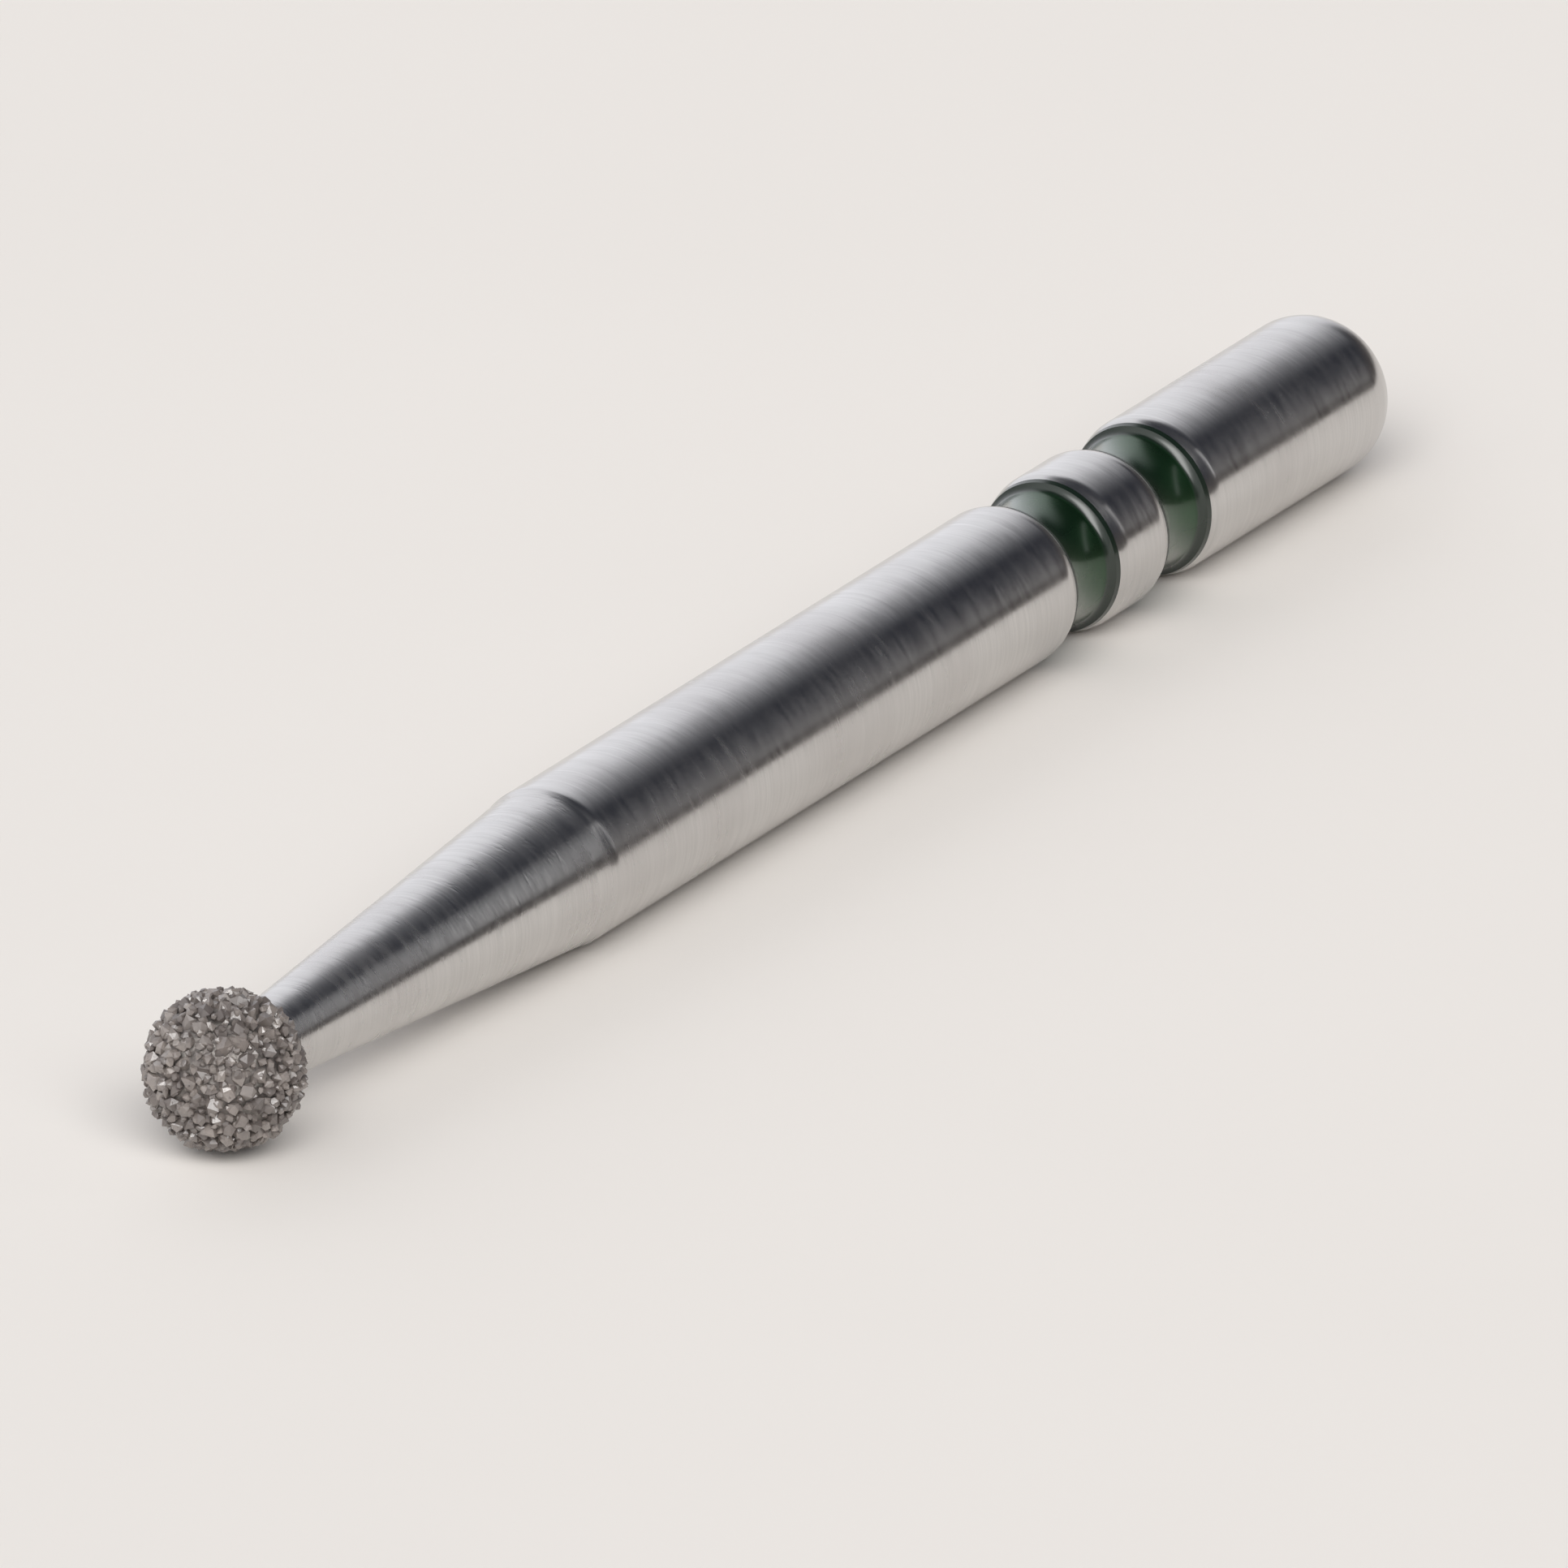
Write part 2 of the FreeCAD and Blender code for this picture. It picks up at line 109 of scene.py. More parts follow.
# The diamond grains. They keep this many of the neck's radii away from the axis behind the ball, and
# a grain's middle lies this share of its width under its highest point. The density is so high that
# only the spacing limits their number.
NECK_CLEARANCE = 1.25
GRAIN_SINK = 0.45
GRAIN_DENSITY = 4.0e9
CRYSTAL_KINDS = 10
CRYSTAL_UNEVENNESS = 0.24
CRYSTAL_LEAST_STRETCH = 0.7
GRAIN_LAYERS = (
    {"Grain Width": 0.215 * MM, "Least Share": 0.75, "Spacing": 0.15 * MM,
     "Height Spread": 0.025 * MM, "Seed": 7},
    {"Grain Width": 0.13 * MM, "Least Share": 0.6, "Spacing": 0.085 * MM,
     "Height Spread": 0.06 * MM, "Seed": 31},
)

# How finely the turned pieces are divided.
TURNED_SIDES = 224
CORE_STEPS = 32
TAPER_STEPS = 48
SHOULDER_STEPS = 4
SHANK_STEPS = 48
REAR_STEPS = 16
END_STEPS = 28
END_FLAT_STEPS = 3
LIP_STEPS = 10
SAG_STEPS = 28
BOND_OUTER_STEPS = 60
BOND_INNER_STEPS = 24
GROUND_DIVISIONS = 5
JOIN_DISTANCE = 0.05 * MICRON
SHARP_ANGLE = math.radians(35.0)

# The camera. The picture is as wide as this many metres at the bur, and the point of the axis that
# lies at AIM_X shows this far right of the picture's middle and this far above it.
CAMERA_AZIMUTH = -148.5
CAMERA_ELEVATION = 22.44
PICTURE_WIDTH = 14.79 * MM
LENS = 1400.0
SENSOR = 36.0
AIM_X = 3.914 * MM
AIM_RIGHT = -0.162 * MM
AIM_UP = 0.485 * MM


def direction(azimuth, elevation):
    """A unit vector, from degrees round from +X towards +Y and degrees up."""
    turn, rise = math.radians(azimuth), math.radians(elevation)
    flat = math.cos(rise)
    return Vector((flat * math.cos(turn), flat * math.sin(turn), math.sin(rise)))


def add_node(tree, kind, inputs=None, **settings):
    """A node with its settings, and its inputs as values or as the sockets that feed them."""
    node = tree.nodes.new(kind)
    for name, value in settings.items():
        setattr(node, name, value)
    for key, value in (inputs or {}).items():
        if isinstance(value, bpy.types.NodeSocket):
            tree.links.new(value, node.inputs[key])
        else:
            node.inputs[key].default_value = value
    return node


def maths(tree, operation, *values):
    """The result of one sum on numbers or sockets."""
    inputs = dict(enumerate(values))
    return add_node(tree, "ShaderNodeMath", inputs, operation=operation).outputs[0]


def vector_maths(tree, operation, *values):
    """The result of one sum on vectors."""
    node = add_node(tree, "ShaderNodeVectorMath", dict(enumerate(values)), operation=operation)
    return node.outputs["Value" if operation == "DOT_PRODUCT" else "Vector"]


def ramp(tree, value, start, end, low=0.0, high=1.0, kind="SMOOTHSTEP"):
    """A value that goes from low to high while another goes from start to end."""
    inputs = {"Value": value, "From Min": start, "From Max": end, "To Min": low, "To Max": high}
    node = add_node(tree, "ShaderNodeMapRange", inputs, interpolation_type=kind)
    return node.outputs["Result"]


def new_group(name, kind, inputs, outputs):
    """An empty node group with named sockets, and its two end nodes."""
    tree = bpy.data.node_groups.new(name, kind)
    for side, sockets in (("INPUT", inputs), ("OUTPUT", outputs)):
        for label, socket_type, value in sockets:
            socket = tree.interface.new_socket(label, in_out=side, socket_type=socket_type)
            if value is not None:
                socket.default_value = value
    return tree, tree.nodes.new("NodeGroupInput"), tree.nodes.new("NodeGroupOutput")


# Geometry trees.

GEOMETRY = ("Geometry", "NodeSocketGeometry", None)
FINISH = ("Finish", "NodeSocketMaterial", None)


def finish_tree(tree, geometry, finish, end, smooth):
    """Realize Instances, shading and Set Material, the last steps of every tree."""
    realized = add_node(tree, "GeometryNodeRealizeInstances", {"Geometry": geometry})
    shaded = add_node(tree, "GeometryNodeSetShadeSmooth", {
        "Geometry": realized.outputs[0], "Shade Smooth": smooth})
    painted = add_node(tree, "GeometryNodeSetMaterial", {
        "Geometry": shaded.outputs[0], "Material": finish})
    tree.links.new(painted.outputs[0], end.inputs["Geometry"])


def turning_tree():
    """Turns an outline round X. The outline's points hold the place along X and the radius as Y."""
    tree, start, end = new_group("turn_outline", "GeometryNodeTree", [
        GEOMETRY,
        ("Sides", "NodeSocketInt", 128),
        ("Join Distance", "NodeSocketFloat", 0.0),
        FINISH,
    ], [GEOMETRY])
    outline, sides = start.outputs["Geometry"], start.outputs["Sides"]
    count = add_node(tree, "GeometryNodeAttributeDomainSize", {"Geometry": outline})
    ring = add_node(tree, "FunctionNodeIntegerMath", {0: sides, 1: 1}, operation="ADD").outputs[0]
    grid = add_node(tree, "GeometryNodeMeshGrid", {
        "Vertices X": count.outputs["Point Count"], "Vertices Y": ring})
    index = add_node(tree, "GeometryNodeInputIndex").outputs[0]
    along = add_node(tree, "FunctionNodeIntegerMath", {0: index, 1: ring}, operation="DIVIDE_FLOOR")
    around = add_node(tree, "FunctionNodeIntegerMath", {0: index, 1: ring}, operation="MODULO")

    place = add_node(tree, "GeometryNodeSampleIndex", {
        "Geometry": outline,
        "Value": add_node(tree, "GeometryNodeInputPosition").outputs[0],
        "Index": along.outputs[0],
    }, data_type="FLOAT_VECTOR")
    edge_attribute = add_node(tree, "GeometryNodeInputNamedAttribute", {"Name": "edge"})
    edge = add_node(tree, "GeometryNodeSampleIndex", {
        "Geometry": outline,
        "Value": edge_attribute.outputs["Attribute"],
        "Index": along.outputs[0],
    })

    parts = add_node(tree, "ShaderNodeSeparateXYZ", {0: place.outputs[0]})
    turn = maths(tree, "MULTIPLY", maths(tree, "DIVIDE", around.outputs[0], sides), math.tau)
    turned = add_node(tree, "ShaderNodeCombineXYZ", {
        "X": parts.outputs["X"],
        "Y": maths(tree, "MULTIPLY", parts.outputs["Y"], maths(tree, "COSINE", turn)),
        "Z": maths(tree, "MULTIPLY", parts.outputs["Y"], maths(tree, "SINE", turn)),
    })
    placed = add_node(tree, "GeometryNodeSetPosition", {
        "Geometry": grid.outputs["Mesh"], "Position": turned.outputs[0]})
    marked = add_node(tree, "GeometryNodeStoreNamedAttribute", {
        "Geometry": placed.outputs[0], "Name": "edge", "Value": edge.outputs[0]})
    joined = add_node(tree, "GeometryNodeMergeByDistance", {
        "Geometry": marked.outputs[0], "Distance": start.outputs["Join Distance"]})
    finish_tree(tree, joined.outputs[0], start.outputs["Finish"], end, True)
    return tree


def crystal_tree():
    """One crystal of unit reach: a cube cut to the middles of its edges, with its corners moved."""
    tree, start, end = new_group("cut_crystal", "GeometryNodeTree", [
        ("Seed", "NodeSocketInt", 0),
        ("Unevenness", "NodeSocketFloat", 0.2),
    ], [GEOMETRY])
    cube = add_node(tree, "GeometryNodeMeshCube", {"Size": (math.sqrt(2.0),) * 3})
    corners = add_node(tree, "GeometryNodeMeshToPoints", {"Mesh": cube.outputs["Mesh"]}, mode="EDGES")
    shift = add_node(tree, "FunctionNodeRandomValue", {
        "Min": (-1.0,) * 3, "Max": (1.0,) * 3, "Seed": start.outputs["Seed"]}, data_type="FLOAT_VECTOR")
    scaled = add_node(tree, "ShaderNodeVectorMath", {
        0: shift.outputs[0], "Scale": start.outputs["Unevenness"]}, operation="SCALE")
    moved = add_node(tree, "GeometryNodeSetPosition", {
        "Geometry": corners.outputs[0], "Offset": scaled.outputs[0]})
    hull = add_node(tree, "GeometryNodeConvexHull", {"Geometry": moved.outputs[0]})
    tree.links.new(hull.outputs[0], end.inputs["Geometry"])
    return tree


def grain_layer_tree(crystals):
    """One layer of grains over a surface, each turned and stretched at random."""
    tree, start, end = new_group("grain_layer", "GeometryNodeTree", [
        GEOMETRY,
        ("Grain Width", "NodeSocketFloat", 0.0),
        ("Least Share", "NodeSocketFloat", 0.7),
        ("Spacing", "NodeSocketFloat", 0.0),
        ("Outer Radius", "NodeSocketFloat", 0.0),
        ("Height Spread", "NodeSocketFloat", 0.0),
        ("Centre", "NodeSocketVector", None),
        ("Seed", "NodeSocketInt", 0),
    ], [GEOMETRY])
    given = start.outputs
    points = add_node(tree, "GeometryNodeDistributePointsOnFaces", {
        "Mesh": given["Geometry"], "Distance Min": given["Spacing"],
        "Density Max": GRAIN_DENSITY, "Seed": given["Seed"]}, distribute_method="POISSON")

    share = add_node(tree, "FunctionNodeRandomValue", {
        2: given["Least Share"], 3: 1.0, "Seed": given["Seed"]}).outputs[1]
    width = maths(tree, "MULTIPLY", given["Grain Width"], share)
    low = add_node(tree, "FunctionNodeRandomValue", {
        2: 0.0, 3: given["Height Spread"], "Seed": maths(tree, "ADD", given["Seed"], 1.0)}).outputs[1]
    reach = maths(tree, "SUBTRACT", given["Outer Radius"], low)
    middle = maths(tree, "SUBTRACT", reach, maths(tree, "MULTIPLY", width, GRAIN_SINK))
    position = add_node(tree, "GeometryNodeInputPosition").outputs[0]
    outward = vector_maths(tree, "NORMALIZE", vector_maths(tree, "SUBTRACT", position, given["Centre"]))
    lifted = add_node(tree, "ShaderNodeVectorMath", {0: outward, "Scale": middle}, operation="SCALE")
    seated = add_node(tree, "GeometryNodeSetPosition", {
        "Geometry": points.outputs["Points"],
        "Position": vector_maths(tree, "ADD", lifted.outputs[0], given["Centre"])})

    kinds = add_node(tree, "GeometryNodeJoinGeometry")
    for kind in range(CRYSTAL_KINDS):
        crystal = add_node(tree, "GeometryNodeGroup", node_tree=crystals)
        crystal.inputs["Seed"].default_value = kind
        crystal.inputs["Unevenness"].default_value = CRYSTAL_UNEVENNESS
        single = add_node(tree, "GeometryNodeGeometryToInstance", {"Geometry": crystal.outputs[0]})
        tree.links.new(single.outputs[0], kinds.inputs[0])
    stretch = add_node(tree, "FunctionNodeRandomValue", {
        "Min": (CRYSTAL_LEAST_STRETCH,) * 3, "Max": (1.0,) * 3,
        "Seed": maths(tree, "ADD", given["Seed"], 2.0)}, data_type="FLOAT_VECTOR").outputs[0]
    turned = add_node(tree, "FunctionNodeRandomValue", {
        "Max": (math.tau,) * 3, "Seed": maths(tree, "ADD", given["Seed"], 3.0)},
        data_type="FLOAT_VECTOR").outputs[0]
    scale = add_node(tree, "ShaderNodeVectorMath", {
        0: stretch, "Scale": maths(tree, "MULTIPLY", width, 0.5)}, operation="SCALE")
    grains = add_node(tree, "GeometryNodeInstanceOnPoints", {
        "Points": seated.outputs[0], "Instance": kinds.outputs[0], "Pick Instance": True,
        "Rotation": turned, "Scale": scale.outputs[0]})
    tone = add_node(tree, "FunctionNodeRandomValue", {
        "Seed": maths(tree, "ADD", given["Seed"], 4.0)}).outputs[1]
    toned = add_node(tree, "GeometryNodeStoreNamedAttribute", {
        "Geometry": grains.outputs[0], "Name": "grain_tone", "Value": tone}, domain="INSTANCE")
    tree.links.new(toned.outputs[0], end.inputs["Geometry"])
    return tree


def diamond_tree(layer):
    """Two layers of grains over the bond, with the tips that stand too far out worn flat."""
    tree, start, end = new_group("diamond_grains", "GeometryNodeTree", [
        GEOMETRY,
        ("Head Radius", "NodeSocketFloat", 0.0),
        ("Centre", "NodeSocketVector", None),
        FINISH,
    ], [GEOMETRY])
    given = start.outputs
    coat = add_node(tree, "GeometryNodeJoinGeometry")
    for values in GRAIN_LAYERS:
        grains = add_node(tree, "GeometryNodeGroup", node_tree=layer)
        for name, value in values.items():
            grains.inputs[name].default_value = value
        for name, source in (("Geometry", "Geometry"), ("Outer Radius", "Head Radius"), ("Centre", "Centre")):
            tree.links.new(given[source], grains.inputs[name])
        tree.links.new(grains.outputs[0], coat.inputs[0])
    realized = add_node(tree, "GeometryNodeRealizeInstances", {"Geometry": coat.outputs[0]})
    position = add_node(tree, "GeometryNodeInputPosition").outputs[0]
    arm = vector_maths(tree, "SUBTRACT", position, given["Centre"])
    reach = add_node(tree, "ShaderNodeVectorMath", {0: arm}, operation="LENGTH").outputs["Value"]
    share = maths(tree, "MINIMUM", maths(tree, "DIVIDE", given["Head Radius"], reach), 1.0)
    held = add_node(tree, "ShaderNodeVectorMath", {0: arm, "Scale": share}, operation="SCALE").outputs[0]
    worn = add_node(tree, "GeometryNodeSetPosition", {
        "Geometry": realized.outputs[0],
        "Position": vector_maths(tree, "ADD", held, given["Centre"])})
    finish_tree(tree, worn.outputs[0], given["Finish"], end, False)
    return tree


def plating_tree():
    """Raises and lowers a surface in small lumps, as plated nickel grows."""
    tree, start, end = new_group("plating_lumps", "GeometryNodeTree", [
        GEOMETRY,
        ("Lump Height", "NodeSocketFloat", 0.0),
        ("Lumps Per Metre", "NodeSocketFloat", 0.0),
        FINISH,
    ], [GEOMETRY])
    given = start.outputs
    position = add_node(tree, "GeometryNodeInputPosition").outputs[0]
    spread = add_node(tree, "ShaderNodeVectorMath", {
        0: position, "Scale": given["Lumps Per Metre"]}, operation="SCALE").outputs[0]
    noise = add_node(tree, "ShaderNodeTexNoise", {"Vector": spread, "Scale": 1.0, "Detail": 2.0})
    height = maths(tree, "MULTIPLY", maths(tree, "SUBTRACT", noise.outputs[0], 0.5), given["Lump Height"])
    normal = add_node(tree, "GeometryNodeInputNormal").outputs[0]
    offset = add_node(tree, "ShaderNodeVectorMath", {0: normal, "Scale": height}, operation="SCALE")
    lumpy = add_node(tree, "GeometryNodeSetPosition", {
        "Geometry": given["Geometry"], "Offset": offset.outputs[0]})
    finish_tree(tree, lumpy.outputs[0], given["Finish"], end, True)
    return tree


def face_outwards(mesh):
    """Points every face of a mesh away from its inside."""
    work = bmesh.new()
    work.from_mesh(mesh)
    bmesh.ops.recalc_face_normals(work, faces=work.faces)
    work.to_mesh(mesh)
    work.free()


def run_tree(tree, piece, values):
    """Turns a piece's mesh into what the tree makes of it."""
    modifier = piece.modifiers.new("shape", "NODES")
    modifier.node_group = tree
    for item in tree.interface.items_tree:
        if item.item_type == "SOCKET" and item.in_out == "INPUT" and item.name in values:
            modifier[item.identifier] = values[item.name]
    evaluated = piece.evaluated_get(bpy.context.evaluated_depsgraph_get())
    mesh = bpy.data.meshes.new_from_object(evaluated)
    piece.modifiers.remove(modifier)
    piece.data = mesh
    face_outwards(mesh)


# Shared surface effects.

# The stretches of a noise texture's values that make rings, scratches, smudges and specks.
RINGS = (0.3, 0.7)
SCRATCHES = (0.55, 0.72)
SMUDGES = (0.35, 0.7)
SPECKS = (0.6, 0.75)


def turning_lines_group():
    """Fine lines round the axis, as grinding leaves them, from coordinates in metres."""
    tree, start, end = new_group("turning_lines", "ShaderNodeTree", [
        ("Vector", "NodeSocketVector", None),
        ("Lines Per Millimetre", "NodeSocketFloat", 30.0),
        ("Broken Up", "NodeSocketFloat", 1.0),
    ], [("Height", "NodeSocketFloat", None)])
    given = start.outputs
    parts = add_node(tree, "ShaderNodeSeparateXYZ", {0: given["Vector"]}).outputs
    fine = maths(tree, "MULTIPLY", given["Lines Per Millimetre"], 1.0 / MM)
    coarse = maths(tree, "MULTIPLY", given["Broken Up"], 1.0 / MM)
    stretched = add_node(tree, "ShaderNodeCombineXYZ", {
        "X": maths(tree, "MULTIPLY", parts["X"], fine),
        "Y": maths(tree, "MULTIPLY", parts["Y"], coarse),
        "Z": maths(tree, "MULTIPLY", parts["Z"], coarse)})
    noise = add_node(tree, "ShaderNodeTexNoise", {
        "Vector": stretched.outputs[0], "Scale": 1.0, "Detail": 3.0, "Roughness": 0.6})
    tree.links.new(noise.outputs[0], end.inputs["Height"])
    return tree


def handling_marks_group():
    """Soft smudges and small specks, as a used instrument has, from coordinates in metres."""
    tree, start, end = new_group("handling_marks", "ShaderNodeTree", [
        ("Vector", "NodeSocketVector", None),
        ("Marks Per Millimetre", "NodeSocketFloat", 1.0),
    ], [("Smudge", "NodeSocketFloat", None), ("Speck", "NodeSocketFloat", None)])
    given = start.outputs
    per_metre = maths(tree, "MULTIPLY", given["Marks Per Millimetre"], 1.0 / MM)
    spread = add_node(tree, "ShaderNodeVectorMath", {0: given["Vector"], "Scale": per_metre},
                      operation="SCALE").outputs[0]
    broad = add_node(tree, "ShaderNodeTexNoise", {
        "Vector": spread, "Scale": 1.0, "Detail": 3.0, "Roughness": 0.55})
    small = add_node(tree, "ShaderNodeTexNoise", {
        "Vector": spread, "Scale": 9.0, "Detail": 2.0, "Roughness": 0.5})
    tree.links.new(ramp(tree, broad.outputs[0], *SMUDGES), end.inputs["Smudge"])
    tree.links.new(ramp(tree, small.outputs[0], *SPECKS), end.inputs["Speck"])
    return tree


# Finishes.

def new_material(name):
    """A material with its node tree, its Principled shader and the object's coordinates."""
    material = bpy.data.materials.new(name)
    material.use_nodes = True
    tree = material.node_tree
    shader = tree.nodes["Principled BSDF"]
    where = add_node(tree, "ShaderNodeTexCoord").outputs["Object"]
    return material, tree, shader, where


# Where a Mix node keeps its two colours, and their blend.
FIRST_COLOUR, SECOND_COLOUR, BLENDED_COLOUR = 6, 7, 2


def blend(tree, factor, first, second):
    """A colour between two, which may be colours or sockets."""
    inputs = {"Factor": factor}
    for key, value in ((FIRST_COLOUR, first), (SECOND_COLOUR, second)):
        inputs[key] = value if isinstance(value, bpy.types.NodeSocket) else (*value, 1.0)
    return add_node(tree, "ShaderNodeMix", inputs, data_type="RGBA").outputs[BLENDED_COLOUR]


def tint(tree, mask, share, colour, tinge):
    """A colour that takes on this share of a second one where the mask is 1."""
    return blend(tree, maths(tree, "MULTIPLY", mask, share), colour, tinge)


def effect(tree, group, inputs):
    """One of the shared effects, placed in a material with its own values."""
    return add_node(tree, "ShaderNodeGroup", inputs, node_tree=group).outputs


def raise_surface(tree, shader, height, distance):
    """Feeds a height into the shader's normal."""
    bump = add_node(tree, "ShaderNodeBump", {"Height": height, "Distance": distance, "Strength": 1.0})
    tree.links.new(bump.outputs[0], shader.inputs["Normal"])


# Colours of the finishes.
STEEL_DARK_LINES = (0.565, 0.555, 0.543)
STEEL_LIGHT_LINES = (0.64, 0.63, 0.617)
STEEL_SMUDGES = (0.52, 0.50, 0.49)
STEEL_EDGES = (0.52, 0.51, 0.50)
LACQUER_DEEP = (0.011, 0.046, 0.015)
LACQUER_LIGHT = (0.015, 0.060, 0.020)
# Painted shade: the lacquer's colour near the groove walls and on the lips.
LACQUER_PAINTED_SHADE = (0.006, 0.014, 0.008)
NICKEL_HOLLOWS = (0.20, 0.18, 0.17)
NICKEL_TOPS = (0.32, 0.30, 0.28)
GRAIN_DARK = (0.118, 0.096, 0.086)
GRAIN_LIGHT = (0.285, 0.249, 0.226)
GRAIN_DUST = (0.155, 0.136, 0.126)
GRAIN_CLOGGED = (0.080, 0.065, 0.060)
FLOOR_DARK = (0.80, 0.765, 0.725)
FLOOR_LIGHT = (0.83, 0.795, 0.755)

# Grains whose random tone lies outside this stretch are fully dark or fully light.
GRAIN_TONES = (0.1, 0.9)

# How much of a second colour a smudge, a worn edge, dust or clogging brings.
STEEL_SMUDGE_SHARE = 0.45
STEEL_EDGE_SHARE = 0.4
GRAIN_DUST_SHARE = 0.4
GRAIN_CLOGGED_SHARE = 0.5

# Roughness at the low and the high end of what varies it.
STEEL_ROUGHNESS = (0.155, 0.245)
LACQUER_ROUGHNESS = (0.24, 0.34)
NICKEL_ROUGHNESS = (0.6, 0.45)
GRAIN_ROUGHNESS = (0.42, 0.22)

# What smudges, the taper and worn edges add to the steel's roughness.
SMUDGE_ROUGHENS = 0.05
TAPER_ROUGHENS = 0.03
EDGE_ROUGHENS = 0.04

# The steel's rings: how far each kind counts, how deep scratches are on the shank and on the taper,
# and how far from the shank the taper's finish is complete.
FINE_RINGS = 0.35
COARSE_RINGS = 0.7
SCRATCH_DEPTHS = (0.12, 0.55)
TAPER_FADE = -0.02 * MM

# Heights of the surface patterns.
STEEL_RELIEF = 1.3 * MICRON
LACQUER_RELIEF = 1.5 * MICRON
NICKEL_RELIEF = 8.0 * MICRON
GRAIN_RELIEF = 3.0 * MICRON

# The lacquer is metallic where it is thick, for its depth, and hardly so where it thins at the walls; there
# its colour is also darkened by painted shade.
LACQUER_METALLIC = (0.8, 0.1)
# The edge mark from which the lacquer counts as thin and fully takes the painted shade.
LACQUER_THIN_AND_SHADE_MARK = 0.45


def ground_steel(lines, marks):
    """Ground stainless steel with fine rings, deeper and broken on the taper, and faint smudges."""
    material, tree, shader, where = new_material("ground_steel")
    shader.inputs["Metallic"].default_value = 1.0
    shader.inputs["Anisotropic"].default_value = 0.6
    shader.inputs["Anisotropic Rotation"].default_value = 0.25
    along = add_node(tree, "ShaderNodeSeparateXYZ", {0: where}).outputs["X"]
    on_taper = ramp(tree, along, 0.0, TAPER_FADE)
    fine = effect(tree, lines, {
        "Vector": where, "Lines Per Millimetre": 38.0, "Broken Up": 0.9})["Height"]
    coarse = effect(tree, lines, {
        "Vector": where, "Lines Per Millimetre": 11.0, "Broken Up": 2.0})["Height"]
    deep = effect(tree, lines, {
        "Vector": where, "Lines Per Millimetre": 9.0, "Broken Up": 3.6})["Height"]
    worn = effect(tree, marks, {"Vector": where, "Marks Per Millimetre": 0.7})
    edge = add_node(tree, "ShaderNodeAttribute", attribute_name="edge").outputs["Fac"]
    tangent = add_node(tree, "ShaderNodeTangent", direction_type="RADIAL", axis="X")
    tree.links.new(tangent.outputs[0], shader.inputs["Tangent"])

    line_mask = ramp(tree, fine, *RINGS, kind="LINEAR")
    colour = blend(tree, line_mask, STEEL_DARK_LINES, STEEL_LIGHT_LINES)
    colour = tint(tree, worn["Smudge"], STEEL_SMUDGE_SHARE, colour, STEEL_SMUDGES)
    colour = tint(tree, edge, STEEL_EDGE_SHARE, colour, STEEL_EDGES)
    tree.links.new(colour, shader.inputs["Base Color"])

    rough = ramp(tree, coarse, *RINGS, *STEEL_ROUGHNESS, "LINEAR")
    for mask, added in (
            (worn["Smudge"], SMUDGE_ROUGHENS), (on_taper, TAPER_ROUGHENS), (edge, EDGE_ROUGHENS)):
        rough = maths(tree, "ADD", rough, maths(tree, "MULTIPLY", mask, added))
    tree.links.new(rough, shader.inputs["Roughness"])

    fine_rings = maths(tree, "MULTIPLY", fine, FINE_RINGS)
    coarse_rings = maths(tree, "MULTIPLY", coarse, COARSE_RINGS)
    rings = maths(tree, "ADD", fine_rings, coarse_rings)
    scratches = ramp(tree, deep, *SCRATCHES)
    depth = ramp(tree, on_taper, 0.0, 1.0, *SCRATCH_DEPTHS)
    height = maths(tree, "SUBTRACT", rings, maths(tree, "MULTIPLY", scratches, depth))
    raise_surface(tree, shader, height, STEEL_RELIEF)
    return material


def green_lacquer(marks):
    """Clear-coated dark green over the steel, duller where it thins out on the walls and lips, and darkened
    there by painted shade.
    """
    material, tree, shader, where = new_material("green_lacquer")
    worn = effect(tree, marks, {"Vector": where, "Marks Per Millimetre": 1.6})
    edge = add_node(tree, "ShaderNodeAttribute", attribute_name="edge").outputs["Fac"]
    colour = blend(tree, worn["Smudge"], LACQUER_DEEP, LACQUER_LIGHT)
    # Thin lacquer near the walls and on the lips: less metallic, and darkened as painted shade.
    thin_and_shaded = ramp(tree, edge, 0.0, LACQUER_THIN_AND_SHADE_MARK)
    colour = blend(tree, thin_and_shaded, colour, LACQUER_PAINTED_SHADE)
    tree.links.new(colour, shader.inputs["Base Color"])
    rough = ramp(tree, worn["Smudge"], 0.0, 1.0, *LACQUER_ROUGHNESS, "LINEAR")
    tree.links.new(rough, shader.inputs["Roughness"])
    tree.links.new(ramp(tree, thin_and_shaded, 0.0, 1.0, *LACQUER_METALLIC), shader.inputs["Metallic"])
    shader.inputs["Coat Weight"].default_value = 0.85
    shader.inputs["Coat Roughness"].default_value = 0.15
    shader.inputs["Coat IOR"].default_value = 1.46
    raise_surface(tree, shader, worn["Smudge"], LACQUER_RELIEF)
    return material


def nickel_bond(marks):
    """Dull plated nickel between the grains, darker in its hollows."""
    material, tree, shader, where = new_material("nickel_bond")
    shader.inputs["Metallic"].default_value = 1.0
    worn = effect(tree, marks, {"Vector": where, "Marks Per Millimetre": 9.0})
    colour = blend(tree, worn["Smudge"], NICKEL_HOLLOWS, NICKEL_TOPS)
    tree.links.new(colour, shader.inputs["Base Color"])
    tree.links.new(ramp(tree, worn["Speck"], 0.0, 1.0, *NICKEL_ROUGHNESS), shader.inputs["Roughness"])
    raise_surface(tree, shader, worn["Smudge"], NICKEL_RELIEF)
    return material


